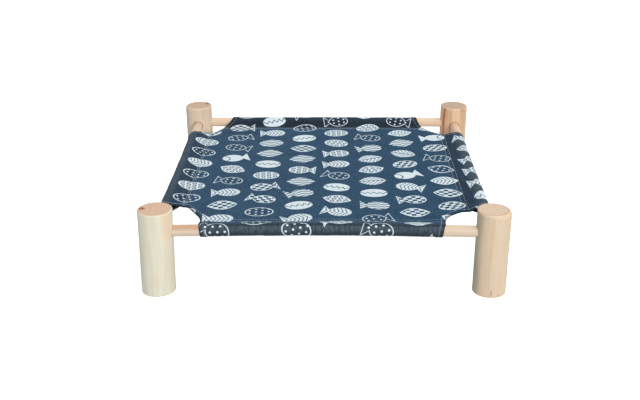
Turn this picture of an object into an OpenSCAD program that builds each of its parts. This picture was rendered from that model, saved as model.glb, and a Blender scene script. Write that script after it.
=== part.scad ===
// Low cat hammock. Four peeled log posts stand on the floor, four dowel rails
// push into blind sockets near their tops, and a canvas sling is stretched
// between the rails, with a sewn sleeve round each rail and scalloped corners.
// The origin is on the floor under the middle, +X to the right, -Y to the front.

/* [Frame] */
// Distance between the axes of two neighbouring posts, both ways
frame_span = 455; // [380:1:600]
// Height of the rail axes above the floor
rail_z = 90; // [60:1:105]

/* [Posts] */
// Diameter of a post
post_d = 46; // [40:1:60]
// Height of a post
post_h = 122; // [118:1:180]
// Rounding of a post's top and bottom edges
post_round = 2; // [0.5:0.1:4]

/* [Rails] */
// Diameter of a rail
rail_d = 16; // [12:0.5:20]
// Chamfer round a rail's ends
rail_chamfer = 1; // [0.4:0.1:2]
// Wood left between the two sockets that meet at right angles in a post
socket_web = 1.4; // [1:0.1:3]
// Clearance round a rail in its socket
socket_clearance = 0.1; // [0.05:0.05:0.3]
// Clearance between a rail's end and the bottom of its socket
socket_end_gap = 0.5; // [0.2:0.1:0.9]

/* [Sling] */
// Thickness of the canvas
cloth_t = 1; // [0.6:0.1:1.4]
// Distance from a rail's axis to the seam that closes its sleeve
sleeve_reach = 30; // [24:1:38]
// Clearance between a rail and its sleeve
sleeve_clearance = 0.3; // [0.1:0.1:0.6]
// Width of the sleeve's edge that is sewn under the panel
seam_w = 9; // [6:0.5:14]
// Radius of the scallop cut out of each corner
scallop_r = 77.5; // [68:0.5:90]
// Distance from a side rail's axis out to the centre of a scallop
scallop_out_x = 14; // [6:0.5:20]
// Distance from a front or rear rail's axis out to the centre of a scallop
scallop_out_y = 1.5; // [0:0.5:10]
// Width of the hem that is turned under along a scallop and a sleeve's ends
hem_w = 8; // [5:0.5:12]

/* [Hidden] */
$fn = 96;

post_r = post_d / 2;
rail_r = rail_d / 2;
half_span = frame_span / 2;

// The sockets of a post lie at one height, so each stops short of the other
socket_r = rail_r + socket_clearance;
socket_floor = socket_r + socket_web;
rail_len = frame_span - 2 * (socket_floor + socket_end_gap);

// A sleeve lies on a cylinder a little larger than its rail
wrap_r = rail_r + sleeve_clearance;
wrap_steps = 24;
// The panel meets each sleeve in the middle of its seam, and is a single layer in its field
panel_w = frame_span - 2 * sleeve_reach - seam_w;
field_w = frame_span - 2 * sleeve_reach - 2 * seam_w;
// Levels of the cloth, measured from the rail axes: the panel, and the layer under it
panel_top = cloth_t / 2;
panel_under = -cloth_t / 2;
layer_under = panel_under - cloth_t;

wood = "#e3d2b2";
pale_wood = "#e4c9a8";
canvas = "#3a546b";
canvas_edge = "#3a4b5c";

// A post: a round log with eased edges, and a blind socket for each of its two rails
module post(side, end) {
    color(wood)
        translate([side * half_span, end * half_span, 0])
            difference() {
                log_body();
                translate([0, 0, rail_z]) {
                    rotate([0, -90 * side, 0])
                        socket();
                    rotate([90 * end, 0, 0])
                        socket();
                }
            }
}

// The turned log with its two rounded rims
module log_body() {
    rotate_extrude()
        union() {
            square([post_r - post_round, post_h]);
            translate([0, post_round])
                square([post_r, post_h - 2 * post_round]);
            for (rim = [post_round, post_h - post_round])
                translate([post_r - post_round, rim])
                    circle(post_round);
        }
}

// A socket is bored along +Z from its floor and out through the side of the post
module socket() {
    translate([0, 0, socket_floor])
        cylinder(r = socket_r, h = post_r);
}

// A rail that lies along X, with chamfered ends
module rail_along_x() {
    rotate([0, 90, 0])
        translate([0, 0, -rail_len / 2])
            rotate_extrude()
                polygon([
                    [0, 0],
                    [rail_r - rail_chamfer, 0],
                    [rail_r, rail_chamfer],
                    [rail_r, rail_len - rail_chamfer],
                    [rail_r - rail_chamfer, rail_len],
                    [0, rail_len]
                ]);
}

// One rail of the frame; the turn is 0 at the front, 90 right, 180 rear and 270 left
module rail(turn) {
    color(pale_wood)
        rotate([0, 0, turn])
            translate([0, -half_span, rail_z])
                rail_along_x();
}

// Cylinders that cut the four corners of the sling to a radius
module corners(r) {
    for (side = [-1, 1], end = [-1, 1])
        translate([side * (half_span + scallop_out_x), end * (half_span + scallop_out_y), 0])
            cylinder(r = r, h = post_h);
}

// Direction from the rail's axis to where the line from a seam point touches a circle round
// that axis: on the upper side with hand 1 and on the lower side with hand -1
function touch_angle(r, point, hand) = atan2(point.y, point.x) + hand * acos(r / norm(point));

// A loop pulled tight from the points at the seam, listed upwards, round the rail
module loop_outline(r, seam_points) {
    from = touch_angle(r, seam_points[len(seam_points) - 1], 1);
    to = touch_angle(r, seam_points[0], -1) + 360;
    wrap = [
        for (i = [0 : wrap_steps])
            let (angle = from + (to - from) * i / wrap_steps)
            [r * cos(angle), r * sin(angle)]
    ];
    polygon(concat(seam_points, wrap));
}

// Cross-section of a sleeve's outside, with its edge turned in and sewn under the panel
module sleeve_outside(layers) {
    loop_outline(
        wrap_r + layers * cloth_t,
        [[sleeve_reach, layer_under], [sleeve_reach, panel_top]]
    );
    translate([sleeve_reach, layer_under]) {
        square([seam_w / 2, 2 * cloth_t]);
        square([seam_w, cloth_t]);
    }
}

// Cross-section of the tunnel inside a sleeve, which ends at the first row of stitches
module sleeve_tunnel() {
    loop_outline(wrap_r, [[sleeve_reach, panel_under]]);
}

// Draws a cross-section along the whole of a rail, before the ends are cut
module along_rail(turn) {
    rotate([0, 0, turn])
        translate([-half_span, -half_span, rail_z])
            rotate([90, 0, 90])
                linear_extrude(frame_span)
                    children();
}

// A sleeve, cut by the scallops at its ends, where the turned hem makes it two layers thick
module sleeve(turn) {
    color(canvas_edge)
        difference() {
            union() {
                along_rail(turn)
                    sleeve_outside(1);
                intersection() {
                    along_rail(turn)
                        sleeve_outside(2);
                    corners(scallop_r + hem_w);
                }
            }
            along_rail(turn)
                sleeve_tunnel();
            corners(scallop_r);
        }
}

// The flat of the sling between its four seams
module sling_panel() {
    color(canvas)
        difference() {
            translate([-panel_w / 2, -panel_w / 2, rail_z + panel_under])
                cube([panel_w, panel_w, cloth_t]);
            corners(scallop_r);
        }
}

// The hem turned under the panel along one scallop, from seam to seam
module hem(side, end) {
    color(canvas_edge)
        intersection() {
            translate([0, 0, rail_z + layer_under])
                linear_extrude(cloth_t)
                    translate([
                        side * (half_span + scallop_out_x),
                        end * (half_span + scallop_out_y)
                    ])
                        difference() {
                            circle(scallop_r + hem_w);
                            circle(scallop_r);
                        }
            translate([-field_w / 2, -field_w / 2, 0])
                cube([field_w, field_w, post_h]);
        }
}

post(-1, -1);  // post_front_left
post(1, -1);  // post_front_right
post(-1, 1);  // post_rear_left
post(1, 1);  // post_rear_right
rail(0);  // rail_front
rail(180);  // rail_rear
rail(270);  // rail_left
rail(90);  // rail_right
sling_panel();
sleeve(0);  // sleeve_front
sleeve(180);  // sleeve_rear
sleeve(270);  // sleeve_left
sleeve(90);  // sleeve_right
hem(-1, -1);  // hem_front_left
hem(1, -1);  // hem_front_right
hem(-1, 1);  // hem_rear_left
hem(1, 1);  // hem_rear_right
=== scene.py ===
import math
from functools import partial

import bpy
import numpy as np
from mathutils import Matrix, Vector


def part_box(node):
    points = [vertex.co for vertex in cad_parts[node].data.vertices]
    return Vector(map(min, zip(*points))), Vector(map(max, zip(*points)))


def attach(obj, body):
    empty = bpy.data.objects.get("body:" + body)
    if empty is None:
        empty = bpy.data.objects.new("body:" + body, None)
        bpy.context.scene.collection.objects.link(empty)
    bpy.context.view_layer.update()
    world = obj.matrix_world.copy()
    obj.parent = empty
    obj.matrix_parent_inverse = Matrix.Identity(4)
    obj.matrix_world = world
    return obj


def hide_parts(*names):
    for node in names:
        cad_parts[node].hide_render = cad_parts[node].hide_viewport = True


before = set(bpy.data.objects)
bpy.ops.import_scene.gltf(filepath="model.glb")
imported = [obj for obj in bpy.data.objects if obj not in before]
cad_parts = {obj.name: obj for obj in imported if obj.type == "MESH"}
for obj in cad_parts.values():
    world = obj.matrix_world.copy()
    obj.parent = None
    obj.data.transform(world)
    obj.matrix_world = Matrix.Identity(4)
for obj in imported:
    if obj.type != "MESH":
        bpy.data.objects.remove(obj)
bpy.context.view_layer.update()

# POSTS
# Each post is a short pine log, peeled with a drawknife that leaves faint flats down its sides,
# sawn square and eased at the rims. Two blind sockets near its top take the rails.
mm = 0.001
log_around = 132
log_rim_steps = 7
log_side_steps = 52
log_cap_shares = (0.12, 0.3, 0.5, 0.7, 0.88)
log_crease = math.radians(38)
log_flats = 17
log_flat_stray = 0.35
log_flat_depth = (0.05 * mm, 0.30 * mm)
log_flat_wave = (60 * mm, 140 * mm)
log_flat_sharpness = 9 / mm
log_ovality = 0.12 * mm
log_foot_ease = 1.0 * mm
log_seed = 40
socket_around = 64
socket_gap = 0.7 * mm
socket_end_gap = 0.5 * mm


def add_piece(name, points, faces):
    """A new mesh object at the origin, with its place in its vertices."""
    mesh = bpy.data.meshes.new(name)
    mesh.from_pydata([tuple(p) for p in points], [], faces)
    mesh.update()
    piece = bpy.data.objects.new(name, mesh)
    bpy.context.scene.collection.objects.link(piece)
    return piece


def ring_faces(rings, around, capped=False):
    """Quads between closed rings of points, listed one ring after the other, and flat end caps."""
    faces = [
        (r * around + i, r * around + (i + 1) % around,
         (r + 1) * around + (i + 1) % around, (r + 1) * around + i)
        for r in range(rings - 1)
        for i in range(around)
    ]
    if capped:
        last = (rings - 1) * around
        faces += [tuple(reversed(range(around))), tuple(range(last, last + around))]
    return faces


def log_skin(angle, height, radius, rng):
    """Distance from a log's axis to its skin: a circle with shallow flats that come and go."""
    spread = 2 * math.pi / log_flats
    facing = spread * (np.arange(log_flats) + rng.uniform(-log_flat_stray, log_flat_stray, log_flats))
    depth = rng.uniform(*log_flat_depth, log_flats)
    phase = rng.uniform(0, 2 * math.pi, log_flats)
    wave = rng.uniform(*log_flat_wave, log_flats)
    turn = (angle[None, :, None] - facing + math.pi) % (2 * math.pi) - math.pi
    swing = 0.6 + 0.4 * np.sin(2 * math.pi * height[:, :, None] / wave + phase)
    flat = (radius - depth * swing) / np.cos(np.clip(turn, -1.0, 1.0))
    skin = np.concatenate([flat, np.full(flat.shape[:2] + (1,), radius)], axis=2)
    soft = -np.log(np.exp(-log_flat_sharpness * (skin - radius)).sum(axis=2)) / log_flat_sharpness
    oval = log_ovality * (np.cos(2 * (angle - rng.uniform(0, math.pi))) - 1)
    skin = radius + np.minimum(soft, 0) + oval[None, :]
    return skin * (radius / skin.mean())


def log_points(centre, radius, height, easing, rng):
    """Rings from the middle of the foot, up the side and in to the middle of the top. The easing
    gives the size of the top's hand-rounded rim in mm, how uneven it is, and where it is largest."""
    size, uneven, facing = easing
    angle = np.linspace(0, 2 * math.pi, log_around, endpoint=False)
    rim = size * mm * (1 + uneven * np.cos(angle - facing))
    ease = np.linspace(0, math.pi / 2, log_rim_steps)[:, None]
    cap = np.array(log_cap_shares)[:, None]
    rise = 1 - np.cos(ease)
    inset = 1 - np.sin(ease)
    foot = np.full(log_around, log_foot_ease)
    side = foot + (height - foot - rim) * np.linspace(0, 1, log_side_steps)[1:-1, None]
    flat = np.zeros((len(cap), log_around))
    z = np.concatenate([flat, foot * rise, side, (height - rim * rise)[::-1], flat + height])
    share = np.concatenate([cap, np.ones((len(z) - 2 * len(cap), 1)), cap[::-1]])
    pull = np.concatenate([flat + foot, foot * inset, 0 * side, (rim * inset)[::-1], flat + rim])
    skin = share * (log_skin(angle, z, radius, rng) - pull)
    return np.stack([centre.x + skin * np.cos(angle), centre.y + skin * np.sin(angle), z], axis=2)


def settled(piece, crease=None):
    """Makes a piece's modifiers part of its mesh, smooth except at edges sharper than the crease."""
    depsgraph = bpy.context.evaluated_depsgraph_get()
    mesh = bpy.data.meshes.new_from_object(piece.evaluated_get(depsgraph))
    piece.modifiers.clear()
    piece.data = mesh
    mesh.shade_smooth()
    if crease:
        mesh.set_sharp_from_angle(angle=crease)


def bored(piece, cutters):
    """Cuts the cutters out of a piece."""
    for cutter in cutters:
        bore = piece.modifiers.new("bore", "BOOLEAN")
        bore.operation = "DIFFERENCE"
        bore.solver = "EXACT"
        bore.object = cutter
    settled(piece, log_crease)
    for cutter in cutters:
        bpy.data.objects.remove(cutter)


def rod(start, end, radius):
    """A closed cylinder between two points, used to bore a socket."""
    along = (end - start).normalized()
    across = along.orthogonal().normalized()
    other = along.cross(across)
    ring = [
        across * math.cos(t) + other * math.sin(t)
        for t in np.linspace(0, 2 * math.pi, socket_around, endpoint=False)
    ]
    points = [start + radius * r for r in ring] + [end + radius * r for r in ring]
    return add_piece("bore", points, ring_faces(2, socket_around, capped=True))


def add_node(tree, kind, settings=None, sockets=None):
    """Adds a node to a tree: first its settings, then a value or a node's output for each socket."""
    made = tree.nodes.new(kind)
    for key, value in (settings or {}).items():
        setattr(made, key, value)
    for key, value in (sockets or {}).items():
        if isinstance(value, bpy.types.NodeSocket):
            tree.links.new(value, made.inputs[key])
        else:
            made.inputs[key].default_value = value
    return made


def arithmetic(operation, reflected=False):
    """The method of Wire for one operator, or its reflected form, as in 1 - mask."""
    def method(wire, other):
        values = (other, wire) if reflected else (wire, other)
        return wire.finish.math(operation, *values)
    return method


class Wire:
    """A value in a shader tree. Arithmetic on wires adds Math nodes to that tree."""

    def __init__(self, finish, socket):
        self.finish = finish
        self.socket = socket

    def __abs__(self):
        return self.finish.math("ABSOLUTE", self)

    __add__ = arithmetic("ADD")
    __radd__ = arithmetic("ADD", reflected=True)
    __sub__ = arithmetic("SUBTRACT")
    __rsub__ = arithmetic("SUBTRACT", reflected=True)
    __mul__ = arithmetic("MULTIPLY")
    __rmul__ = arithmetic("MULTIPLY", reflected=True)
    __truediv__ = arithmetic("DIVIDE")
    __rtruediv__ = arithmetic("DIVIDE", reflected=True)
    __mod__ = arithmetic("FLOORED_MODULO")
    __pow__ = arithmetic("POWER")


class Finish:
    """A material under construction. Every node in it comes from node()."""

    def __init__(self, name):
        self.material = bpy.data.materials.new(name)
        self.material.use_nodes = True
        self.tree = self.material.node_tree
        self.tree.nodes.clear()

    def node(self, kind, take, settings=None, sockets=None):
        """Adds a node and returns the outputs named by take, one wire or a tuple of wires."""
        plugs = {k: v.socket if isinstance(v, Wire) else v for k, v in (sockets or {}).items()}
        made = add_node(self.tree, kind, settings, plugs)
        if isinstance(take, tuple):
            return tuple(Wire(self, made.outputs[t]) for t in take)
        return Wire(self, made.outputs[take])

    def math(self, operation, *values):
        return self.node("ShaderNodeMath", 0, {"operation": operation}, dict(enumerate(values)))

    def vector(self, operation, a, b):
        return self.node("ShaderNodeVectorMath", 0, {"operation": operation}, {0: a, 1: b})

    def step(self, value, low, high):
        """0 at low and 1 at high, with a smooth rise between."""
        return self.node(
            "ShaderNodeMapRange", "Result", {"interpolation_type": "SMOOTHSTEP"},
            {"Value": value, "From Min": low, "From Max": high},
        )

    def noise(self, place, scale, detail=2.0, roughness=0.5):
        """Noise stretched by its own scale along each axis."""
        return self.node("ShaderNodeTexNoise", 0, None, {
            "Vector": self.vector("MULTIPLY", place, scale),
            "Scale": 1.0, "Detail": detail, "Roughness": roughness,
        })

    def mix(self, share, a, b):
        """A colour between a and b."""
        return self.node("ShaderNodeMix", 2, {"data_type": "RGBA"}, {0: share, 6: a, 7: b})

    def xyz(self, vector):
        return self.node("ShaderNodeSeparateXYZ", ("X", "Y", "Z"), None, {"Vector": vector})

    def combine(self, x, y, z):
        return self.node("ShaderNodeCombineXYZ", 0, None, {"X": x, "Y": y, "Z": z})

    def bump(self, height, strength, distance):
        return self.node(
            "ShaderNodeBump", 0, None,
            {"Height": height, "Strength": strength, "Distance": distance},
        )

    def surface(self, sockets):
        """Ends the tree in a Principled shader with these sockets."""
        shader = self.node("ShaderNodeBsdfPrincipled", 0, None, sockets)
        self.node("ShaderNodeOutputMaterial", (), None, {"Surface": shader})
        return self.material


def tint(red, green, blue):
    """A display colour, 0 to 255, as the linear colour that a shader takes."""
    part = [c / 255 for c in (red, green, blue)]
    return tuple(c / 12.92 if c <= 0.04045 else ((c + 0.055) / 1.055) ** 2.4 for c in part) + (1.0,)


def pine(name, centre, turn, pale, late, blush, pith, rings=2.6, flecked=0.25, knots=(), streaks_and_shade=(),
         top=None, end_tint=None, checks=(), arris=0.0):
    """Bare pine with its grain along the local Z of a piece, with places in millimetres. A knot has a
    place and a size. A streak, of wood colour or of painted shade down an edge of a post, has the
    direction that it faces, its width as an angle, its lower and upper end, its colour and its
    strength. With the height of a sawn top, both ends show the wood across its grain, and a check
    there has a direction, a start and an end. The arris sets the strength of a thin line of painted
    shade just below the top's edge."""
    wood = Finish(name)
    mix, noise, step = wood.mix, wood.noise, wood.step
    own = wood.node("ShaderNodeTexCoord", "Object")
    place = wood.node(
        "ShaderNodeMapping", 0, {"vector_type": "TEXTURE"},
        {"Vector": own, "Location": centre, "Rotation": turn, "Scale": (mm, mm, mm)},
    )
    x, y, z = wood.xyz(place)
    drift = noise(place, (0.03, 0.03, 0.006))
    fibre = noise(place, (1.3, 1.3, 0.028), 3.0, 0.6)
    cloud = noise(place, (0.07, 0.07, 0.012), 1.0)
    fleck = noise(place, (0.75, 0.75, 0.13), 1.0)
    radius = wood.math("SQRT", (x - pith[0]) ** 2 + (y - pith[1]) ** 2)
    grown = radius + (drift - 0.5) * 5.0 + z * 0.004
    heart = 0.0
    halo = 0.0
    for spot, size in knots:
        away = wood.vector("MULTIPLY", wood.vector("SUBTRACT", place, spot), (1.0, 1.0, 0.8))
        far = wood.node("ShaderNodeVectorMath", "Value", {"operation": "LENGTH"}, {0: away}) / size
        grown = grown + 1.6 * wood.math("EXPONENT", far * far * -0.35)
        heart = wood.math("MAXIMUM", heart, step(far + (fibre - 0.5) * 0.5, 1.0, 0.55))
        halo = wood.math("MAXIMUM", halo, step(far, 2.4, 0.6))
    ring = wood.math("FRACT", grown / rings)
    latewood = step(ring, 0.30, 0.9) * step(ring, 1.0, 0.93)
    tone = mix(latewood * 0.45, pale, late)
    tone = mix(step(cloud, 0.42, 0.72) * 0.6, tone, blush)
    tone = mix(step(fibre, 0.58, 0.30) * 0.14, tone, tint(186, 150, 116))
    tone = mix(step(fleck, 0.68, 0.78) * flecked, tone, tint(162, 120, 86))
    # Streaks of wood colour, and bands of painted shade down the edges of a post
    for facing, wide, first, last, colour, strength in streaks_and_shade:
        side = wood.math("ARCTAN2", y, x) - facing
        apart = abs(wood.math("WRAP", side, math.pi, -math.pi))
        band = step(apart + (fibre - 0.5) * wide + (cloud - 0.5) * wide, wide, wide * 0.35)
        fade = min(8, (last - first) / 2)
        band = band * step(z, first - fade, first + fade) * step(z, last + fade, last - fade)
        tone = mix(band * strength, tone, colour)
    tone = mix(halo * 0.35, tone, tint(196, 140, 100))
    tone = mix(heart * 0.9, tone, tint(128, 74, 50))
    height = fibre * 0.5 + latewood * 0.25
    rough = 0.56 + fibre * 0.18
    if top is not None:
        sawn = wood.math("MAXIMUM", step(z, top - 0.3, top - 0.08), step(z, 0.3, 0.08))
        year = wood.math("FRACT", (radius + (drift - 0.5) * 2.2) / rings)
        late_ring = step(year, 0.30, 0.92) * step(year, 1.0, 0.93)
        coarse = noise(place, (0.85, 0.16, 0.3), 3.0, 0.65)
        end_tone = mix(late_ring * 0.30, end_tint, tint(188, 140, 100))
        end_tone = mix(step(coarse, 0.62, 0.34) * 0.18, end_tone, tint(170, 124, 90))
        for facing, first, last in checks:
            along = x * math.cos(facing) + y * math.sin(facing)
            off_line = abs(x * math.sin(facing) - y * math.cos(facing) + (fibre - 0.5) * 1.2)
            crack = step(off_line, 0.36, 0.10) * step(along, first, first + 2)
            crack = crack * step(along, last, last - 3)
            end_tone = mix(crack * 0.6, end_tone, tint(120, 82, 58))
        end_tone = mix(heart * 0.85, end_tone, tint(152, 90, 68))
        tone = mix(sawn, tone, end_tone)
        # Painted shade: a thin darker line just below the edge of the sawn top, as strong as the arris
        # says
        rim_shade = step(z, top - 0.28, top - 0.16) * step(z, top - 0.01, top - 0.04)
        tone = mix(rim_shade * arris, tone, tint(164, 122, 90))
        height = height * (1 - sawn) + coarse * sawn
        rough = rough + sawn * 0.12
    return wood.surface({
        "Base Color": tone,
        "Roughness": rough,
        "Normal": wood.bump(height, 0.3, 0.2 * mm),
        "Specular IOR Level": 0.3,
    })


# Girth as a share of the solid post's, easing of the top's rim, and lean to the right per height
post_forms = {
    "front_left": (1.019, (1.5, 0.5, -1.2), 0.021),
    "front_right": (0.996, (3.2, 0.8, -0.7), 0.0),
    "rear_left": (0.994, (2.2, 0.8, -2.3), 0.0),
    "rear_right": (1.009, (1.8, 0.6, -1.2), 0.0),
}
# Shades and marks of each log, with places from the middle of its foot. The grey streaks down a
# post's left or right edge are painted shade.
post_looks = {
    "front_left": dict(
        pale=tint(240, 236, 215), late=tint(230, 218, 190), blush=tint(238, 224, 198),
        pith=(3.5, -2.0), flecked=0.15, arris=0.1,
        knots=[((-16.2, 1.2, 122.0), 5.4)],
        streaks_and_shade=[
            # Painted shade down the left edge
            (-2.98, 0.32, 10, 125, tint(176, 176, 166), 0.6),
            (-0.68, 0.5, 82, 130, tint(242, 212, 178), 0.7),
        ],
        end_tint=tint(231, 196, 170), checks=[(2.6, 3.0, 12.0)],
    ),
    "front_right": dict(
        pale=tint(233, 208, 179), late=tint(222, 193, 159), blush=tint(235, 213, 188),
        pith=(-2.5, 3.0), flecked=0.4, arris=0.6,
        streaks_and_shade=[
            (-1.60, 0.05, 4, 11, tint(150, 112, 84), 0.8),
            (-1.15, 0.04, 1, 6, tint(170, 132, 98), 0.6),
            # Painted shade down the left edge
            (-3.25, 0.85, 0, 122, tint(170, 170, 148), 0.75),
        ],
        end_tint=tint(230, 206, 182), checks=[(0.4, 10.0, 20.0)],
    ),
    "rear_left": dict(
        pale=tint(234, 210, 184), late=tint(222, 192, 160), blush=tint(236, 214, 190),
        pith=(2.0, 3.2), flecked=0.2, arris=0.1,
        knots=[((14.4, 8.6, 122.0), 4.8)],
        # The streak is painted shade down the left edge
        streaks_and_shade=[(-2.95, 0.75, 0, 122, tint(198, 194, 186), 0.7)],
        end_tint=tint(214, 185, 160),
    ),
    "rear_right": dict(
        pale=tint(240, 204, 168), late=tint(226, 180, 138), blush=tint(242, 206, 176),
        pith=(-3.5, -1.5), flecked=0.25, arris=0.1,
        knots=[((12.0, -18.4, 118.6), 1.9), ((-17.4, -15.4, 118.8), 1.9)],
        streaks_and_shade=[
            (-2.40, 0.36, 70, 122, tint(238, 174, 132), 0.6),
            (-2.50, 0.14, 0, 112, tint(200, 134, 86), 0.9),
            (-2.46, 0.11, 105, 115, tint(182, 98, 58), 0.9),
            (-2.53, 0.08, 82, 102, tint(184, 110, 62), 0.8),
            (-1.92, 0.15, 60, 116, tint(214, 162, 116), 0.6),
            (-0.95, 0.45, 0, 130, tint(212, 172, 132), 0.65),
            # Painted shade down the right edge
            (-0.12, 0.5, 0, 130, tint(196, 176, 164), 0.7),
        ],
        end_tint=tint(200, 174, 152), checks=[(-2.2, 4.0, 15.0)],
    ),
}

rail_low, rail_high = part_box("rail_front")
rail_r = (rail_high.z - rail_low.z) / 2
rail_z = (rail_high.z + rail_low.z) / 2
socket_floor = rail_high.x + socket_end_gap

for number, (corner, (girth, easing, lean)) in enumerate(post_forms.items()):
    foot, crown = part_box("post_" + corner)
    width = crown.x - foot.x
    centre = Vector(((foot.x + crown.x) / 2, (foot.y + crown.y) / 2, 0))
    rng = np.random.default_rng(log_seed + number)
    rings = log_points(centre, girth * width / 2, crown.z, easing, rng)
    middles = [(centre.x, centre.y, 0), (centre.x, centre.y, crown.z)]
    points = np.concatenate([rings.reshape(-1, 3), middles])
    points[:, 0] += lean * (points[:, 2] - crown.z / 2)
    faces = ring_faces(len(rings), log_around)
    foot_middle = len(rings) * log_around
    last = foot_middle - log_around
    for i in range(log_around):
        after = (i + 1) % log_around
        faces.append((foot_middle, after, i))
        faces.append((foot_middle + 1, last + i, last + after))
    log = add_piece("log_" + corner, points, faces)
    middle = centre + Vector((0, 0, rail_z))
    depth = abs(centre.x) - socket_floor
    inward_x = Vector((-math.copysign(1, centre.x), 0, 0))
    inward_y = Vector((0, -math.copysign(1, centre.y), 0))
    bored(log, [
        rod(middle + way * depth, middle + way * width, rail_r + socket_gap)
        for way in (inward_x, inward_y)
    ])
    log.data.materials.append(
        pine("peeled_pine_" + corner, centre, (0, 0, 0), top=crown.z / mm, **post_looks[corner])
    )
    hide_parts("post_" + corner)
    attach(log, "root")

# RAILS
# Four sanded pine dowels, cut to one length, push into the sockets and carry the sling, whose
# pull bows them a little towards the middle. The grain runs along each dowel.
rail_looks = {
    "front": dict(
        pale=tint(232, 212, 190), late=tint(218, 190, 164), blush=tint(226, 196, 170), pith=(30, 11),
        streaks_and_shade=[(-2.75, 0.75, -215, -60, tint(204, 159, 128), 0.85)],
    ),
    "right": dict(
        pale=tint(232, 202, 174), late=tint(220, 184, 150), blush=tint(232, 198, 172), pith=(-20, -24),
        streaks_and_shade=[(-1.57, 1.3, 190, 230, tint(242, 190, 158), 0.6)],
    ),
    "rear": dict(
        pale=tint(238, 209, 180), late=tint(226, 192, 157), blush=tint(238, 208, 178), pith=(-26, 17),
    ),
    "left": dict(
        pale=tint(228, 204, 178), late=tint(216, 184, 152), blush=tint(230, 206, 180), pith=(18, -25),
        knots=[((-1.5, -7.8, 200.5), 1.5)],
    ),
}
sides = list(rail_looks)
along_x = (0, math.pi / 2, 0)
along_y = (-math.pi / 2, 0, 0)
dowel_around = 48
dowel_rings = 61
dowel_chamfer = 1.0 * mm
dowel_crease = math.radians(30)
half_span = (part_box("rail_right")[0].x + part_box("rail_right")[1].x) / 2
bare_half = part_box("post_front_right")[0].x
# How far the middle of each rail is drawn in and up
rail_pulls = {
    "front": (3.2 * mm, 1.2 * mm), "right": (1.6 * mm, 0.0),
    "rear": (0.8 * mm, 1.0 * mm), "left": (1.8 * mm, 0.0),
}


def turned(side, x, y):
    """A plan vector of the front side, turned to another side."""
    return {"front": (x, y), "right": (-y, x), "rear": (-x, -y), "left": (y, -x)}[side]


def from_side(side, x, y):
    """A plan vector as one of the front side, the reverse of turned."""
    return turned({"right": "left", "left": "right"}.get(side, side), x, y)


def bowed(points):
    """Points of the rails and the sling, moved in and up with the rails, which bend as rods do under
    an even load."""
    moved = np.array(points, dtype=float)
    for side, (inward, up) in rail_pulls.items():
        along, out = from_side(side, points[..., 0], points[..., 1])
        far = np.clip(np.abs(along) / bare_half, 0, 1)
        share = (1 - 1.2 * far ** 2 + 0.2 * far ** 4) * np.clip(-out / bare_half, 0, 1)
        moved += np.stack([*turned(side, 0 * share, inward * share), up * share], axis=-1)
    return moved


for side, looks in rail_looks.items():
    low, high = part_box("rail_" + side)
    half_length = max(high - low) / 2
    station = np.linspace(dowel_chamfer - half_length, half_length - dowel_chamfer, dowel_rings)
    station = np.concatenate([[-half_length], station, [half_length]])[:, None]
    radius = np.full(station.shape, rail_r)
    radius[[0, -1]] -= dowel_chamfer
    turn = np.linspace(0, 2 * math.pi, dowel_around, endpoint=False)
    x, y = turned(side, station + 0 * turn, radius * np.cos(turn) - half_span)
    rings = bowed(np.stack([x, y, rail_z + radius * np.sin(turn)], axis=-1))
    faces = ring_faces(len(station), dowel_around, capped=True)
    dowel = add_piece("dowel_" + side, rings.reshape(-1, 3), faces)
    dowel.data.shade_smooth()
    dowel.data.set_sharp_from_angle(angle=dowel_crease)
    grain = along_x if side in ("front", "rear") else along_y
    dowel.data.materials.append(pine("dowel_pine_" + side, (low + high) / 2, grain, rings=3.4, **looks))
    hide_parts("rail_" + side)
    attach(dowel, "root")

# SLING
# One cut of cotton canvas, printed on its face. Each side is folded round its rail into a sleeve
# and sewn down under the panel, and the scalloped corners and sleeve ends have a turned hem.
cloth_t = 0.55 * mm
layer_gap = 0.1 * mm
sleeve_slack = 0.1 * mm
seam_w = 14 * mm
# Each side was sewn by eye: how far its seam lies from the rail's axis, and its two rows of thread
# from the seam
sleeve_reach = {"front": 25.5 * mm, "right": 22.5 * mm, "rear": 25.5 * mm, "left": 24 * mm}
seam_rows = {
    "front": (0.5 * mm, 7.5 * mm), "right": (0.4 * mm, 6.5 * mm),
    "rear": (7.5 * mm, 12 * mm), "left": (0.6 * mm, 3.9 * mm),
}
hem_w = 8 * mm
hem_row = 5.6 * mm
fold_r = cloth_t + layer_gap / 2
sag = 2.2 * mm
sling_crease = math.radians(60)
wrap_steps = 25
flank_steps = 10
strip_steps = 4
hem_steps = 3
arc_steps = 22
seats = {side: half_span - reach for side, reach in sleeve_reach.items()}

# The four scallops were cut by hand and differ. Each edge is given by how far it lies, in mm, from
# the crossing of two rail axes, in directions turned from the cross rail to the side rail. The left
# corners come first, and of each side's two the front one.
scallop_turns = np.radians([-10, 5, 20, 30, 45, 57, 62, 67, 75, 85, 95])
scallop_edges = mm * np.array([
    [(60, 58.6, 60.7, 65, 69.3, 75.5, 79, 82.5, 80, 71, 71),
     (63, 60.5, 57.2, 55.3, 59, 63.5, 66, 62, 65.5, 71.5, 79)],
    [(67.2, 63.7, 66, 68.7, 71, 70.3, 69.2, 67.3, 66.2, 67.5, 70),
     (67.5, 66.2, 65, 62.8, 66.3, 66.8, 67.6, 69.9, 71.6, 74.8, 82)],
])
scallop_slopes = np.gradient(scallop_edges, scallop_turns, axis=-1)


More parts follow.
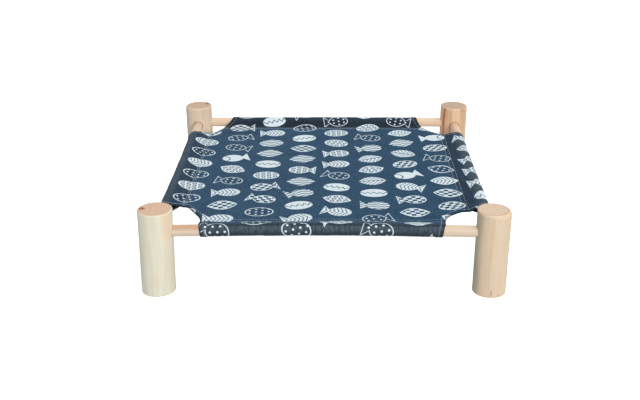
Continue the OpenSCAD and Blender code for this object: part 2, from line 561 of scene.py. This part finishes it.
def edge_reach(right, rear, turn):
    """How far a scallop's edge lies from its crossing of rail axes, on a smooth curve through the
    points above; the corner is told by signs."""
    right, rear, turn = np.broadcast_arrays(right, rear, turn)
    corner = ((right > 0).astype(int), (rear > 0).astype(int))
    turn = np.clip(turn, scallop_turns[0], scallop_turns[-1])
    i = np.clip(np.searchsorted(scallop_turns, turn) - 1, 0, len(scallop_turns) - 2)
    gap = scallop_turns[i + 1] - scallop_turns[i]
    t = (turn - scallop_turns[i]) / gap
    here = (*corner, i)
    ahead = (*corner, i + 1)
    before = scallop_edges[here] * (1 + 2 * t) + scallop_slopes[here] * gap * t
    after = scallop_edges[ahead] * (3 - 2 * t) + scallop_slopes[ahead] * gap * (t - 1)
    return before * (1 - t) ** 2 + after * t ** 2


def corner_turn(x, y):
    """Direction of a place from the nearest crossing of rail axes."""
    return np.arctan2(half_span - np.abs(y), half_span - np.abs(x))


def from_scallop(x, y):
    """Distance from the nearest scallop's edge."""
    reach = np.hypot(half_span - np.abs(x), half_span - np.abs(y))
    return reach - edge_reach(x, y, corner_turn(x, y))


def sleeve_loop(reach):
    """Stations of the cloth's face round a sleeve, from the seam over the rail and back to it:
    place in from the rail's axis and height over it, outward normal and length of cloth so far."""
    wrap = rail_r + sleeve_slack + cloth_t
    top = np.array([reach, cloth_t / 2])
    low = np.array([reach, -1.5 * cloth_t - layer_gap])
    first = math.atan2(top[1], top[0]) + math.acos(wrap / np.hypot(*top))
    last = math.atan2(low[1], low[0]) - math.acos(wrap / np.hypot(*low)) + 2 * math.pi
    angles = np.linspace(first, last, wrap_steps)
    arc = np.stack([np.cos(angles), np.sin(angles)], axis=1)
    share = np.linspace(0, 1, flank_steps, endpoint=False)[:, None] ** 1.3
    over = top + (wrap * arc[0] - top) * share
    under = low + (wrap * arc[-1] - low) * share[::-1]
    strip = low + np.array([seam_w, 0]) * np.linspace(0, 1, strip_steps + 1)[1:, None]
    line = np.concatenate([over, wrap * arc, under, strip])
    normal = np.concatenate([
        np.repeat(arc[:1], len(over), axis=0), arc,
        np.repeat(arc[-1:], len(under), axis=0), np.tile([0.0, -1.0], (len(strip), 1))
    ])
    normal[0] = normal[0] + np.array([0, 1])
    normal[0] /= np.linalg.norm(normal[0])
    length = np.concatenate([[0], np.cumsum(np.linalg.norm(np.diff(line, axis=0), axis=1))])
    return line, normal, length


loop_line = {}
loop_normal = {}
loop_length = {}
for side, reach in sleeve_reach.items():
    loop_line[side], loop_normal[side], loop_length[side] = sleeve_loop(reach)
loop_closed = len(loop_line["front"]) - strip_steps - 1


def smooth(value, low, high):
    """0 below low, 1 above high and a smooth rise between."""
    t = np.clip((value - low) / (high - low), 0, 1)
    return t * t * (3 - 2 * t)


def beside(side, x, y):
    """A place in plan as its distance along a side and in from that side's seam."""
    along, out = from_side(side, x, y)
    return along, out + seats[side]


# Past the top of its rail a sleeve's end is cut back, by this share of the cloth's length, at the
# end with the lower and the higher distance along the side
sleeve_tapers = {"front": (0.11, 0.14), "right": (0.2, 0.3), "rear": (0.2, 0.2), "left": (0.3, 0.2)}


def setback(side, end, k):
    """How far a sleeve's end is cut back at loop stations k."""
    taper = np.where(np.asarray(end) < 0, *sleeve_tapers[side])
    length = loop_length[side]
    crest = length[np.argmax(loop_line[side][:, 1])]
    return taper * (np.clip(length[k], crest, length[loop_closed]) - crest)


def sleeve_end(side, end, k, offset=0.0):
    """How far from its middle a sleeve ends at loop stations k, less an offset in from its edge.
    The place is found in rounds, from a guess."""
    inward = loop_line[side][k, 0]
    guess = 65 * mm
    rounds = 30
    left = np.full(np.shape(inward), guess)
    for _ in range(rounds):
        x, y = turned(side, end * (half_span - left), inward - half_span)
        reach = edge_reach(x, y, corner_turn(x, y)) + offset
        left = np.sqrt(np.maximum(reach ** 2 - inward ** 2, 0))
    return half_span - left - setback(side, end, k)


def bell(value, middle, width):
    """1 at the middle, and a smooth fall to 0 over about two widths."""
    return np.exp(-((value - middle) / width) ** 2)


def seam_relief(side, along, inside):
    """Puckers and the two rows where thread pulls the cloth down, beside one seam."""
    number = sides.index(side)
    ripple = np.sin(along / (2.1 * mm) + 2.4 * np.sin(along / (19 * mm) + number) + number)
    swell = np.sin(along / (31 * mm) + 1.7 * number)
    pucker = 0.16 * mm * ripple * bell(inside, 4 * mm, 7 * mm)
    gather = 0.30 * mm * swell * bell(inside, 3 * mm, 16 * mm)
    pulled = sum(bell(inside, row, 1.3 * mm) for row in seam_rows[side])
    return pucker + gather - 0.4 * mm * pulled


def edge_relief(x, y):
    """The hem's extra layer, its row of thread, and the roll and drag of a free corner."""
    off = from_scallop(x, y)
    turn = corner_turn(x, y)
    which = 1.3 * np.sign(x) + 0.7 * np.sign(y)
    layer = 0.45 * mm * (1 - smooth(off, hem_w - 1.5 * mm, hem_w + 1.5 * mm))
    row = -0.25 * mm * bell(off, hem_row, 1.2 * mm)
    lift = (0.9 + 0.5 * np.sin(2.6 * which)) * mm * bell(off, 6 * mm, 15 * mm)
    roll = -0.9 * mm * bell(off, 0, 2.6 * mm)
    drag = 0.45 * mm * np.sin(11 * turn + 3 * which) * np.exp(-off / (38 * mm))
    return layer + row + lift + roll + drag


def panel_relief(x, y):
    """Height of the panel's face over its level plane."""
    seams = {side: beside(side, x, y) for side in sides}
    front, right, rear, left = (np.maximum(inside, 0) for along, inside in seams.values())
    dish = -sag * (4 * front * rear / (front + rear) ** 2) * (4 * left * right / (left + right) ** 2)
    across = np.sin(x / (34 * mm) + 0.9 * np.sin(y / (41 * mm)))
    along = np.sin(y / (29 * mm) + 1.2 + x / (90 * mm))
    inner = smooth(np.minimum(np.minimum(front, rear), np.minimum(left, right)), 0, 60 * mm)
    sewn = sum(seam_relief(side, *place) for side, place in seams.items())
    return dish + 0.35 * mm * (across + along) * inner + sewn + edge_relief(x, y)


def panel_place(x, y):
    """Points of the panel's face, and its normals."""
    level = rail_z + cloth_t / 2
    point = np.stack([x, y, level + panel_relief(x, y)], axis=-1)
    return point, np.broadcast_to(np.array([0.0, 0.0, 1.0]), point.shape)


def sleeve_place(side, along, k):
    """Points of a sleeve's face at loop stations k, and its normals."""
    inward, height = np.moveaxis(loop_line[side][k], -1, 0)
    across, up = np.moveaxis(loop_normal[side][k], -1, 0)
    x, y = turned(side, along, inward - half_span)
    nx, ny = turned(side, 0 * along, across)
    number = sides.index(side)
    spent = loop_length[side][k]
    left = loop_length[side][loop_closed] - spent
    off = from_scallop(x, y) - setback(side, along, k)
    wrapped = smooth(spent, 2 * mm, 14 * mm) * smooth(left, 0, 8 * mm)
    hem = (2 * fold_r - cloth_t) * (1 - smooth(off, hem_w - 1 * mm, hem_w + 4 * mm)) * wrapped
    slack = smooth(left, 0, 12 * mm) * (1 - smooth(left, 22 * mm, 34 * mm))
    sway = 0.55 * mm * slack * np.sin(along / (17 * mm) + 1.9 * number + np.sin(along / (43 * mm)))
    wobble = 0.14 * mm * wrapped * np.sin(along / (11 * mm) + 2.3 * number + spent / (23 * mm))
    by_seam = seam_relief(side, along, -spent) * (1 - smooth(spent, 10 * mm, 24 * mm))
    by_edge = edge_relief(x, y) * (1 - smooth(spent, 0, 16 * mm))
    rise = np.where(k > loop_closed, -panel_relief(x, y), hem + sway + wobble + by_seam + by_edge)
    normal = np.stack([nx, ny, up + 0 * along], axis=-1)
    point = np.stack([x, y, rail_z + height + 0 * along], axis=-1) + rise[..., None] * normal
    return point, normal


def crowded(count, power):
    """Lines from 0 to 1 that crowd towards 1."""
    return 1 - (1 - np.linspace(0, 1, count)) ** power


def mirrored(half):
    """Lines from -1 to 1 out of lines from 0 to 1."""
    return np.concatenate([-half[:0:-1], half])


def arc_turns(right, rear):
    """Directions of the points along a scallop, from the cross seam to the side seam."""
    cross = "front" if rear < 0 else "rear"
    flank = "right" if right > 0 else "left"
    first = math.atan2(sleeve_reach[cross], half_span - sleeve_end(cross, -right * rear, 0))
    last = math.atan2(half_span - sleeve_end(flank, right * rear, 0), sleeve_reach[flank])
    return first + (last - first) * (1 - crowded(arc_steps, 1.3)[::-1])


def arc_plan(right, rear, turns, offset=0.0):
    """Plan places along a scallop, at a distance in from its edge."""
    reach = edge_reach(right, rear, turns) + offset
    return right * (half_span - reach * np.cos(turns)), rear * (half_span - reach * np.sin(turns))


corners = {"front": (1, -1), "right": (1, 1), "rear": (-1, 1), "left": (-1, -1)}
turns = {corner: arc_turns(*corner) for corner in corners.values()}
sheet_points = []
sheet_cuts = []
sheet_folds = []
sheet_faces = []


def add_points(points, cuts, folds):
    """Adds points to the sling with their places in the flat cut and their distances from a fold,
    and returns their numbers."""
    start = sum(len(p) for p in sheet_points)
    sheet_points.append(points.reshape(-1, 3))
    sheet_cuts.append(cuts.reshape(-1, 2))
    sheet_folds.append(np.broadcast_to(folds, points.shape[:-1]).reshape(-1))
    return start + np.arange(points[..., 0].size).reshape(points.shape[:-1])


def add_quads(grid, flip=False):
    """Quads over a grid of point numbers."""
    corner_numbers = [grid[:-1, :-1], grid[:-1, 1:], grid[1:, 1:], grid[1:, :-1]]
    quads = np.stack(corner_numbers, axis=-1).reshape(-1, 4)
    sheet_faces.extend(tuple(int(v) for v in quad) for quad in (quads[:, ::-1] if flip else quads))


def panel_lines(even, close, power):
    """Lines over the panel from -1 to 1: even ones in its middle, and close ones towards its edges."""
    even_share = 0.86
    middle = np.linspace(0, even_share, even)[:-1]
    return mirrored(np.concatenate([middle, even_share + (1 - even_share) * crowded(close, power)]))


def panel_border(right):
    """Plan places down one side of the panel: a scallop, the side seam and the other scallop."""
    front = arc_plan(right, -1, turns[right, -1])
    rear = arc_plan(right, 1, turns[right, 1][::-1])
    share = (panel_lines(even=32, close=12, power=1.5)[1:-1] + 1) / 2
    y = front[1][-1] + (rear[1][0] - front[1][-1]) * share
    x = 0 * y + right * seats["right" if right > 0 else "left"]
    return np.concatenate([front[0], x, rear[0]]), np.concatenate([front[1], y, rear[1]])


columns = panel_lines(even=37, close=17, power=1.8)
left_x, left_y = panel_border(-1)
right_x, right_y = panel_border(1)
panel_x = np.maximum(columns, 0) * right_x[:, None] + np.maximum(-columns, 0) * left_x[:, None]
panel_y = left_y[:, None] + (right_y - left_y)[:, None] * (columns + 1) / 2
panel = add_points(
    panel_place(panel_x, panel_y)[0], np.stack([panel_x, panel_y], axis=-1), from_scallop(panel_x, panel_y)
)
add_quads(panel)

arc_rows = len(turns[1, 1])
seam_points = {
    "front": panel[0], "right": panel[arc_rows - 1:1 - arc_rows, -1],
    "rear": panel[-1, ::-1], "left": panel[arc_rows - 1:1 - arc_rows, 0][::-1],
}
corner_points = {
    "front": panel[:arc_rows, -1], "right": panel[-arc_rows:, -1],
    "rear": panel[-arc_rows:, 0][::-1], "left": panel[:arc_rows, 0][::-1],
}
stations = np.arange(1, len(loop_line["front"]))
next_side = dict(zip(sides, sides[1:] + sides[:1]))
sleeves = {}
for side in sides:
    share = sheet_cuts[0][seam_points[side]] @ np.array(turned(side, 1.0, 0.0))
    share = share / np.where(share < 0, -share.min(), share.max())
    ends = [sleeve_end(side, end, stations)[:, None] for end in (-1, 1)]
    along = np.where(share < 0, share * ends[0], share * ends[1])
    k = np.repeat(stations[:, None], along.shape[1], axis=1)
    cut = np.stack(turned(side, along, -seats[side] - loop_length[side][k]), axis=-1)
    fold = from_scallop(*turned(side, along, loop_line[side][k, 0] - half_span)) - setback(side, along, k)
    added = add_points(sleeve_place(side, along, k)[0], cut, fold)
    sleeves[side] = np.concatenate([seam_points[side][None, :], added])
    add_quads(sleeves[side], flip=True)


def rim_place(side, offset):
    """The line that runs round one corner at a distance in from its edge: along the end of one
    sleeve, over the panel and along the end of the next sleeve. Returns points and normals."""
    after = next_side[side]
    wrap = np.arange(loop_closed, 0, -1)
    here = sleeve_place(side, sleeve_end(side, 1, wrap, offset), wrap)
    there = sleeve_place(after, -sleeve_end(after, -1, wrap[::-1], offset), wrap[::-1])
    corner = corners[side]
    order = 1 if side in ("front", "rear") else -1
    over = panel_place(*arc_plan(*corner, turns[corner][::order], offset))
    return tuple(np.concatenate(part) for part in zip(here, over, there))


made_points = np.concatenate(sheet_points)
made_cuts = np.concatenate(sheet_cuts)
for side in sides:
    after = next_side[side]
    rim = np.concatenate([
        sleeves[side][loop_closed:0:-1, -1], corner_points[side], sleeves[after][1:loop_closed + 1, 0]
    ])
    edge, normal = rim_place(side, 0.0)
    inner = rim_place(side, hem_w)[0]
    inward = (inner - edge) / np.linalg.norm(inner - edge, axis=1, keepdims=True)
    strips = [rim]
    for bend in np.radians([45, 90, 135, 180]):
        fold = made_points[rim] - inward * fold_r * math.sin(bend) - normal * fold_r * (1 - math.cos(bend))
        strips.append(add_points(fold, made_cuts[rim], 0.0))
    for depth in hem_w * np.linspace(0, 1, hem_steps + 1)[1:]:
        under = rim_place(side, depth)[0] - normal * 2 * fold_r
        strips.append(add_points(under, made_cuts[rim], 0.0))
    add_quads(np.stack(strips), flip=True)

all_points = np.concatenate(sheet_points)
all_cuts = np.concatenate(sheet_cuts)
sling = add_piece("sling", bowed(all_points), sheet_faces)
flat_cut = sling.data.attributes.new("flat_cut", "FLOAT_VECTOR", "POINT")
cut_and_fold = np.column_stack([all_cuts, np.concatenate(sheet_folds)]).astype(np.float32)
flat_cut.data.foreach_set("vector", cut_and_fold.ravel())

# Widths in millimetres of a yarn and of the print's columns and rows, and the columns' shift
yarn = 0.8
print_column = 55
print_row = 48
print_shift = 9.5


def print_cover(cloth, x, y, weave):
    """How far the pale print covers the cloth: leaves, fish and ovals in staggered columns, each
    turned and filled in its own way. Round the front and rear rails most are outlines with dots."""
    step = cloth.step
    floor, fract, sine, root = (partial(cloth.math, word) for word in ("FLOOR", "FRACT", "SINE", "SQRT"))
    most, least, below = (partial(cloth.math, word) for word in ("MAXIMUM", "MINIMUM", "LESS_THAN"))
    shifted = x + print_shift
    column = floor(shifted / print_column)
    sideways = shifted - (column + 0.5) * print_column
    stagger = (column % 2) * 0.5
    upward = y / print_row + stagger
    row = floor(upward)
    height = (upward - row - 0.5) * print_row
    chance = cloth.node("ShaderNodeTexWhiteNoise", "Color", {"noise_dimensions": "3D"},
                        {"Vector": cloth.combine(column + 0.5, row + 0.5, 7.5)})
    pick, fill, lean = cloth.xyz(chance)
    seam = seats["front"] / mm
    dotted = step(abs((row + 0.5 - stagger) * print_row), seam + 4, seam + 6) * below(lean, 0.7)
    fill = fill * (1 - dotted) + dotted * 0.48
    angle = (lean - 0.5) * 0.9
    along_u = cloth.math("COSINE", angle)
    along_v = sine(angle)
    mirror = cloth.math("SIGN", fract(lean * 7) - 0.5)
    u = (sideways * along_u + height * along_v) * mirror
    v = height * along_u - sideways * along_v
    oval = (u / 20.5) ** 2 + (v / 15.5) ** 2
    leaf = abs(v) / 16 + (u / 22) ** 2
    tail = most(abs(v) / (2.5 + most(u - 10.5, 0) * 1.15), abs(u - 16) / 6)
    fish = least(((u + 4) / 17) ** 2 + (v / 14.5) ** 2, tail)
    is_fish = below(pick, 0.36)
    is_leaf = below(pick, 0.68) * (1 - is_fish)
    is_oval = 1 - is_fish - is_leaf
    shape = fish * is_fish + leaf * is_leaf + oval * is_oval
    inside = step(shape + (weave - 0.5) * 0.05, 1.03, 0.97)
    border = step(shape, 0.80, 0.85)
    checks = (floor(u / 6.5) + floor(v / 6)) % 2
    dots_u = fract(u / 9) - 0.5
    dots_v = fract(v / 9 + (floor(u / 9) % 2) * 0.5) - 0.5
    dot = root(dots_u * dots_u + dots_v * dots_v) * 9
    dots = step(dot, 1.9, 1.5)
    rings = step(abs(dot - 2.6), 1.0, 0.7)
    bands = step(abs(fract((v + 1.6 * sine(u / 2.8)) / 7.5) - 0.5), 0.15, 0.20)
    rib = step(abs(v), 0.7, 1.1)
    vein = step(abs(fract((u + abs(v) * 0.9) / 7.0) - 0.5), 0.08, 0.13)
    gill = step(abs(root((u + 20) ** 2 + v * v) - 11), 0.7, 1.1)
    fins = step(abs(fract((u - abs(v) * 0.5) / 6.0) - 0.5), 0.10, 0.16)
    zigzag = step(abs(v - (abs(fract(u / 9.0) - 0.5) * 14 - 3.5)), 1.1, 1.6)
    fills = [
        (0.22, least(rib, vein) * is_leaf + gill * is_fish + zigzag * is_oval),
        (0.38, most(border, checks)),
        (0.58, most(border, dots)),
        (0.72, 1 - rings * (1 - border)),
        (0.86, bands),
        (1.01, most(border, fins)),
    ]
    pale = 0.0
    passed = 0.0
    for limit, pattern in fills:
        reached = below(fill, limit)
        pale = pattern * (reached - passed) + pale
        passed = reached
    return inside * pale * (0.88 + weave * 0.12)


def canvas(name, printed):
    """Navy plain-weave canvas with uneven yarns, with or without its pale print. The printed face
    carries painted shade and painted highlight on the sleeves; the reverse, painted shade inside them.
    """
    cloth = Finish(name)
    mix, noise, step = cloth.mix, cloth.noise, cloth.step
    flat = cloth.node("ShaderNodeAttribute", "Vector", {"attribute_name": "flat_cut"})
    place = cloth.vector("MULTIPLY", flat, (1 / mm, 1 / mm, 1 / mm))
    x, y, fold = cloth.xyz(place)
    warp = abs(cloth.math("SINE", x * (math.pi / yarn)))
    weft = abs(cloth.math("SINE", y * (math.pi / yarn)))
    parity = (cloth.math("FLOOR", x / yarn) + cloth.math("FLOOR", y / yarn)) % 2
    weave = warp * parity + weft * (1 - parity)
    slub_y = noise(place, (0.85, 0.035, 0), 2.0, 0.6)
    slub_x = noise(place, (0.03, 0.8, 0), 2.0, 0.6)
    wash = noise(place, (0.02, 0.02, 0))
    heather = noise(place, (0.45, 0.18, 0), 1.0)
    slubs = (slub_y - 0.5) * 0.9 + (slub_x - 0.5) * 0.55 + heather - 0.5
    uneven = step(slubs + (wash - 0.5) * 0.35, -0.5, 0.5)
    seam = seats["front"] / mm
    if not printed:
        dull = mix(uneven, tint(24, 34, 46), tint(46, 60, 76))
        # Painted shade, nearly black, on the reverse past the seams, which lines the sleeves
        tunnel = step(cloth.math("MAXIMUM", abs(x), abs(y)), seam, seam + 8)
        dull = mix(tunnel * 0.8, dull, tint(8, 10, 14))
        return cloth.surface({
            "Base Color": dull,
            "Roughness": 0.78 + weave * 0.1,
            "Normal": cloth.bump(weave, 0.4, 0.2 * mm),
            "Specular IOR Level": 0.15,
        })
    # The panel's navy turns cooler from left to right. Past the side seams, round the front rail and
    # at the rear, the tone carries painted shade and painted highlight for how light falls on the sleeves.
    ribbing = noise(place, (0.30, 0.012, 0), 2.0, 0.7)
    streaky = step(ribbing * 0.6 + uneven * 0.4, 0.36, 0.64)
    navy = mix(uneven, tint(29, 58, 84), tint(59, 91, 117))
    cool = mix(uneven, tint(19, 52, 77), tint(48, 85, 113))
    # Painted shade for the side sleeves' slope by the seam (lee), and a painted highlight where the cloth
    # rounds over a rail (rounded)
    lee = mix(uneven, tint(21, 43, 62), tint(47, 71, 92))
    rounded = mix(uneven, tint(46, 60, 72), tint(82, 97, 111))
    # The front sleeve's face gets a greyer tone of its own for how light falls on it, with a line of
    # painted shade just past the top of the rail and painted shade growing over the lower face as it turns
    # under
    slate = mix(streaky, tint(58, 70, 83), tint(84, 97, 109))
    round_rail = 0 - y - seam
    crease_shade = step(round_rail, 34, 29.5) * 0.6
    under_rail_shade = step(round_rail, 35, 46) * 0.65
    slate = mix(cloth.math("MAXIMUM", crease_shade, under_rail_shade), slate, tint(22, 30, 38))
    # Painted shade over the rear sleeve, lightening towards its crest with the painted highlight
    shaded = mix(uneven, tint(13, 23, 37), tint(41, 55, 71))
    shaded = mix(step(y, seam + 8, seam + 28) * 0.4, shaded, rounded)
    right_row = (seats["right"] - seam_rows["right"][1]) / mm
    left_row = (seats["left"] - seam_rows["left"][0]) / mm
    beyond = cloth.math("MAXIMUM", x - right_row, 0 - x - left_row)
    # On the side sleeves, the painted shade by the seam gives way to the painted highlight over the rail
    flank = mix(step(beyond, 17, 27), lee, rounded)
    navy = mix(step(x, -120, 160), navy, cool)
    navy = mix(step(beyond, -1, 1.5), navy, flank)
    # Round the front rail, the greyer tone with its painted shade
    navy = mix(step(round_rail, 23, 29), navy, slate)
    # The rear sleeve takes its painted shade
    navy = mix(step(y, seam - 8, seam - 5.5), navy, shaded)
    tone = mix(print_cover(cloth, x, y, weave), navy, tint(224, 236, 242))
    # A dark band along each folded edge: the print does not reach the fold, and the band is painted shade
    # where the fold turns under
    tone = mix(step(fold, 2.8, 0.2) * 0.75, tone, tint(22, 28, 36))
    fuzz = noise(place, (1.4, 1.4, 1.4))
    relief = weave * 0.7 + slub_y * 0.5 + slub_x * 0.3
    return cloth.surface({
        "Base Color": tone,
        "Roughness": 0.76 + fuzz * 0.16,
        "Normal": cloth.bump(relief, 0.45, 0.22 * mm),
        "Sheen Weight": 0.06,
        "Sheen Roughness": 0.45,
        "Sheen Tint": tint(190, 208, 226),
        "Specular IOR Level": 0.12,
    })


sling.data.materials.append(canvas("printed_canvas", True))
sling.data.materials.append(canvas("canvas_reverse", False))
thick = sling.modifiers.new("cloth", "SOLIDIFY")
thick.thickness = cloth_t
thick.offset = -1
thick.material_offset = 1
settled(sling, sling_crease)
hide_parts("sling_panel", *["sleeve_" + side for side in sides],
            *[f"hem_{end}_{side}" for end in ("front", "rear") for side in ("left", "right")])
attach(sling, "root")
cut_reach = {side: seats[side] + loop_length[side][-1] for side in sides}
cut_width = cut_reach["left"] + cut_reach["right"]
cut_depth = cut_reach["front"] + cut_reach["rear"]

# STITCHES
# White lockstitch sewing thread: two rows along each seam, on the face and underneath, and one
# row along each hem. Every stitch is a short bead of thread that dips into the cloth at its ends.
stitch_pitch = 2.8 * mm
stitch_length = 2.4 * mm
stitch_seed = 5
thread_r = 0.25 * mm
thread_lift = 0.45 * thread_r
seam_margin = 2.5 * mm
row_steps = 260


def stitch_tree(material):
    """Beads of thread set along the edges of a mesh, with sizes as named inputs."""
    tree = bpy.data.node_groups.new("sewn_rows", "GeometryNodeTree")
    tree.interface.new_socket("Rows", in_out="INPUT", socket_type="NodeSocketGeometry")
    for label, size in (("Pitch", stitch_pitch), ("Length", stitch_length), ("Thread radius", thread_r)):
        socket = tree.interface.new_socket(label, in_out="INPUT", socket_type="NodeSocketFloat")
        socket.default_value = size
    seed = tree.interface.new_socket("Seed", in_out="INPUT", socket_type="NodeSocketInt")
    seed.default_value = stitch_seed
    tree.interface.new_socket("Thread", in_out="OUTPUT", socket_type="NodeSocketGeometry")
    add = partial(add_node, tree)
    given = add("NodeGroupInput").outputs
    line = add("GeometryNodeMeshToCurve", None, {"Mesh": given["Rows"]})
    beads = add("GeometryNodeCurveToPoints", {"mode": "LENGTH"},
                {"Curve": line.outputs["Curve"], "Length": given["Pitch"]})
    ball = add("GeometryNodeMeshUVSphere", None, {"Segments": 6, "Rings": 5, "Radius": 1.0})
    half_length = add("ShaderNodeMath", {"operation": "MULTIPLY"}, {0: given["Length"], 1: 0.5})
    size = add("ShaderNodeCombineXYZ", None, {
        "X": half_length.outputs[0], "Y": given["Thread radius"], "Z": given["Thread radius"]})
    bead = add("GeometryNodeTransform", None, {"Geometry": ball.outputs["Mesh"], "Scale": size.outputs[0]})
    aim = add("FunctionNodeAlignRotationToVector", {"axis": "X"}, {"Vector": beads.outputs["Tangent"]})
    sway = add("FunctionNodeRandomValue", {"data_type": "FLOAT_VECTOR"}, {
        "Min": (-0.05, -0.05, -0.09), "Max": (0.05, 0.05, 0.09), "Seed": given["Seed"]})
    rotate = add("FunctionNodeRotateRotation", {"rotation_space": "LOCAL"}, {
        "Rotation": aim.outputs["Rotation"], "Rotate By": sway.outputs["Value"]})
    placed = add("GeometryNodeInstanceOnPoints", None, {
        "Points": beads.outputs["Points"], "Instance": bead.outputs["Geometry"],
        "Rotation": rotate.outputs["Rotation"]})
    real = add("GeometryNodeRealizeInstances", None, {"Geometry": placed.outputs["Instances"]})
    dressed = add("GeometryNodeSetMaterial", None, {
        "Geometry": real.outputs["Geometry"], "Material": material})
    add("NodeGroupOutput", None, {"Thread": dressed.outputs["Geometry"]})
    return tree


def thread_finish():
    """Pale twisted cotton thread."""
    thread = Finish("white_thread")
    own = thread.node("ShaderNodeTexCoord", "Object")
    ply = thread.noise(own, (2600, 2600, 2600))
    tone = thread.mix(ply, tint(150, 166, 180), tint(214, 222, 228))
    return thread.surface({
        "Base Color": tone,
        "Roughness": 0.6 + ply * 0.2,
        "Normal": thread.bump(ply, 0.4, 0.1 * mm),
        "Sheen Weight": 0.2,
    })


row_points = []
row_edges = []


def add_row(points):
    """Adds one row of stitches along a line of points."""
    start = len(row_points)
    row_points.extend(points)
    row_edges.extend((start + i, start + i + 1) for i in range(len(points) - 1))


for side in sides:
    for row in seam_rows[side]:
        ends = [sleeve_end(side, end, 0) - seam_margin for end in (-1, 1)]
        along = np.linspace(-ends[0], ends[1], row_steps)
        x, y = turned(side, along, np.full(along.shape, row - seats[side]))
        face = panel_place(x, y)[0]
        add_row(face + np.array([0, 0, thread_lift]))
        add_row(face - np.array([0, 0, 2 * cloth_t + layer_gap + thread_lift]))
    line, normal = rim_place(side, hem_row)
    add_row(line + normal * thread_lift)
    below = slice(loop_closed, loop_closed + arc_rows)
    add_row((line - normal * (2 * fold_r + thread_lift))[below])

row_mesh = bpy.data.meshes.new("stitch_rows")
row_mesh.from_pydata([tuple(p) for p in bowed(np.array(row_points))], row_edges, [])
stitches = bpy.data.objects.new("stitches", row_mesh)
bpy.context.scene.collection.objects.link(stitches)
sewing = stitches.modifiers.new("sewing", "NODES")
sewing.node_group = stitch_tree(thread_finish())
settled(stitches)
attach(stitches, "root")
["dowel_" + side for side in sides]

# STUDIO
# A white floor that glows a little, one large soft light beside the camera, weaker ones overhead and
# behind, and a camera with a 52 mm lens that stands before the bed and looks a little down on it.
floor_half = 40.0
floor_corners = ((-1, -1), (1, -1), (1, 1), (-1, 1))
floor = add_piece("floor", [(x * floor_half, y * floor_half, 0) for x, y in floor_corners], [(0, 1, 2, 3)])
paper = Finish("pale_floor")
floor.data.materials.append(paper.surface({
    "Base Color": tint(244, 244, 244), "Roughness": 0.9,
    "Emission Color": (1.0, 1.0, 1.0, 1.0), "Emission Strength": 0.86,
}))
floor.visible_diffuse = False


def soft_light(name, place, aim, size, power, colour):
    """A square area light at a place, turned to shine on a point."""
    lamp = bpy.data.lights.new(name, "AREA")
    lamp.shape = "SQUARE"
    lamp.size = size
    lamp.energy = power
    lamp.color = colour
    holder = bpy.data.objects.new(name, lamp)
    holder.location = place
    holder.rotation_euler = (Vector(aim) - Vector(place)).to_track_quat("-Z", "Y").to_euler()
    bpy.context.scene.collection.objects.link(holder)


soft_light("overhead", (0.4, 0.3, 2.4), (0, 0, 0.1), 2.0, 22.0, (1.0, 1.0, 1.0))
soft_light("front_right", (1.3, -3.4, 1.5), (0, 0, 0.1), 1.6, 78.0, (1.0, 0.99, 0.97))
soft_light("rear_right", (1.0, 2.8, 1.4), (0, 0, 0.1), 1.6, 16.0, (1.0, 1.0, 1.0))

sky_light = 0.46
sky_seen = 1.08
sky = bpy.data.worlds.new("studio")
sky.use_nodes = True
dome = sky.node_tree.nodes["Background"]
dome.inputs["Color"].default_value = (0.93, 0.98, 1.0, 1.0)
# The sky lights the bed softly, but shows as white where a low view reaches past the floor
ray = add_node(sky.node_tree, "ShaderNodeLightPath")
shine = add_node(sky.node_tree, "ShaderNodeMath", {"operation": "MULTIPLY_ADD"},
                 {0: ray.outputs["Is Camera Ray"], 1: sky_seen - sky_light, 2: sky_light})
sky.node_tree.links.new(shine.outputs[0], dome.inputs["Strength"])
bpy.context.scene.world = sky
bpy.context.scene.view_settings.view_transform = "Standard"

lens_mm = 52.05
camera_place = Vector((10.16 * mm, -1353.2 * mm, 625.0 * mm))
camera_pitch = math.radians(23.50)
camera_yaw = math.radians(-0.78)
camera_roll = math.radians(-0.20)
aim = Matrix.Rotation(-camera_yaw, 4, "Z") @ Matrix.Rotation(math.pi / 2 - camera_pitch, 4, "X")
camera = bpy.data.cameras.new("camera")
camera.lens = lens_mm
camera.sensor_width = 36.0
camera.clip_start = 0.01
eye = bpy.data.objects.new("camera", camera)
eye.matrix_world = Matrix.Translation(camera_place) @ aim @ Matrix.Rotation(camera_roll, 4, "Z")
bpy.context.scene.collection.objects.link(eye)
bpy.context.scene.camera = eye
